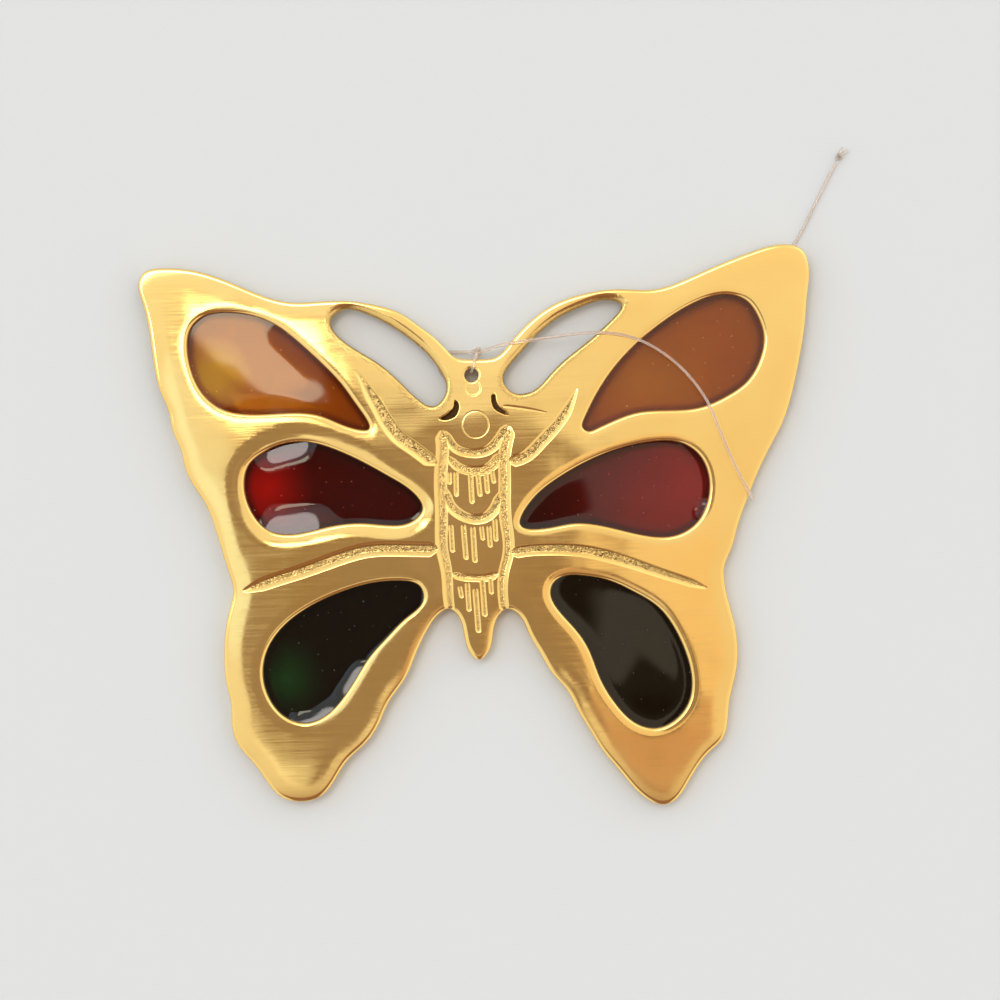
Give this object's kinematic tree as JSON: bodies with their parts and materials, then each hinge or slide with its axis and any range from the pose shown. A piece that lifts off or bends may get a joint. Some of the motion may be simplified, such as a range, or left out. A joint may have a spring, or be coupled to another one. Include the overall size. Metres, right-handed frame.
{
  "type": "butterfly sun catcher",
  "caption": "Flat cast brass butterfly with clear coloured resin panes in its wings, cut veins and body, and a knotted nylon line for hanging.",
  "frame": {"origin": "middle of the casting's outline, on the surface that its back lies on", "axes": "+X to the right across the wings as seen from the front, +Y towards the head, +Z out of the front face"},
  "size_m": [0.1068, 0.0977, 0.0037],
  "materials": {
    "polished_brass": "polished cast brass",
    "amber_resin": "clear poured resin",
    "red_resin": "clear poured resin",
    "green_resin": "clear poured resin",
    "nylon_line": "clear monofilament"
  },
  "bodies": {
    "root": {"wing_casting": "polished_brass", "amber_pane_left": "amber_resin", "amber_pane_right": "amber_resin", "red_pane_left": "red_resin", "red_pane_right": "red_resin", "green_pane_left": "green_resin", "green_pane_right": "green_resin", "line_bridge_loop": "nylon_line", "line_knot": "nylon_line", "line_front_tail": "nylon_line", "line_back_tail": "nylon_line", "line_end_knot": "nylon_line"}
  },
  "joints": []
}
